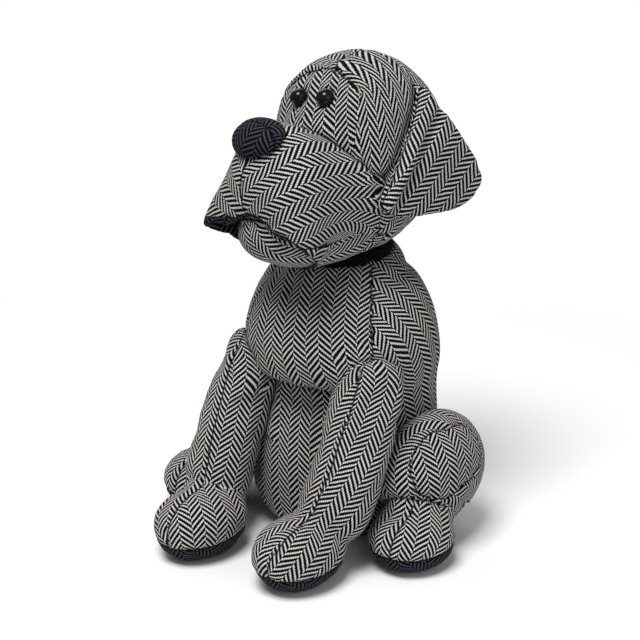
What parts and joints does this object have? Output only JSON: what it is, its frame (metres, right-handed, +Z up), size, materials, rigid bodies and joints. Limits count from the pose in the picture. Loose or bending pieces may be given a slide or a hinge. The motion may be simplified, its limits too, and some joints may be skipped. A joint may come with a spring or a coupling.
{
  "type": "weighted fabric door stop",
  "caption": "Stuffed fabric door stop shaped as a sitting dog, with a heavy filled base that holds a door open.",
  "frame": {"origin": "middle of the base panel, on the floor", "axes": "+Z up, the dog faces -Y, its left is +X"},
  "size_m": [0.2026, 0.2137, 0.2878],
  "materials": {
    "cloth": "woven herringbone, cream on near-black navy",
    "dark_cloth": "woven herringbone, charcoal on near-black",
    "eye_bead": "polished black bead",
    "sacking": "plain calico bag filled with sand"
  },
  "bodies": {
    "root": {"base_panel": "cloth", "weight_bag": "sacking", "torso": "cloth", "tail": "cloth", "neck_band": "dark_cloth", "left_front_leg": "cloth", "left_front_sole": "dark_cloth", "left_hind_leg": "cloth", "left_hind_sole": "dark_cloth", "right_front_leg": "cloth", "right_front_sole": "dark_cloth", "right_hind_leg": "cloth", "right_hind_sole": "dark_cloth", "head": "cloth", "jowl_lining": "dark_cloth", "muzzle": "cloth", "nose": "dark_cloth", "left_ear": "cloth", "left_eye": "eye_bead", "right_ear": "cloth", "right_eye": "eye_bead"}
  },
  "joints": []
}
